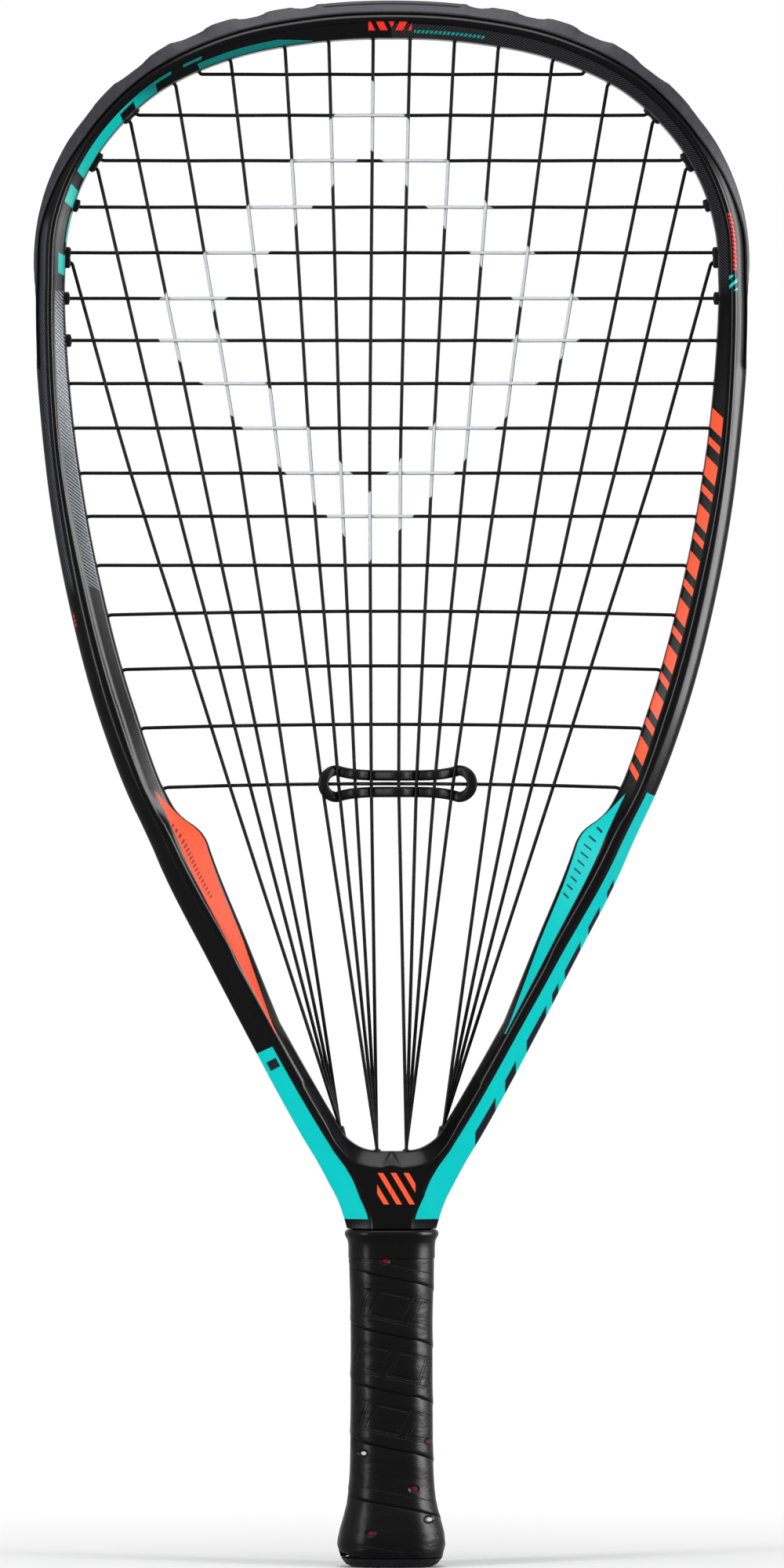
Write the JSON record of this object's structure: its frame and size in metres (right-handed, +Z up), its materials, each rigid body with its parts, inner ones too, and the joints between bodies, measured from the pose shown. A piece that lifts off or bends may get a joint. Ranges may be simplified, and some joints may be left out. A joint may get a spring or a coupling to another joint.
{
  "type": "racquetball racket",
  "caption": "Strung racquetball racket with a teardrop frame, tip guard, woven string bed, damper and wrapped handle.",
  "frame": {"origin": "centre of the butt end's flat face", "axes": "+Z up the handle to the tip of the head, +X across the string bed, -Y towards the viewer of the pictured face"},
  "size_m": [0.2554, 0.0344, 0.5588],
  "materials": {
    "carbon_moulding": "glossy painted carbon",
    "guard_plastic": "satin moulded nylon",
    "strip_plastic": "satin moulded nylon",
    "bushing_plastic": "satin moulded nylon",
    "main_gut": "satin nylon string",
    "cross_gut": "satin nylon string",
    "damper_rubber": "matt rubber",
    "pallet_foam": "moulded foam",
    "cap_plastic": "moulded plastic",
    "grip_polymer": "smooth tacky synthetic leather",
    "collar_rubber": "smooth rubber"
  },
  "bodies": {
    "root": {"frame": "carbon_moulding", "bumper_guard": "guard_plastic", "grommet_strip_left": "strip_plastic", "grommet_strip_right": "strip_plastic", "port_bushing_left_outer": "bushing_plastic", "port_bushing_left_inner": "bushing_plastic", "port_bushing_right_inner": "bushing_plastic", "port_bushing_right_outer": "bushing_plastic", "main_string": "main_gut", "cross_string": "cross_gut", "vibration_damper": "damper_rubber", "handle_pallet": "pallet_foam", "butt_cap": "cap_plastic", "grip_tape": "grip_polymer", "grip_collar": "collar_rubber"}
  },
  "joints": []
}
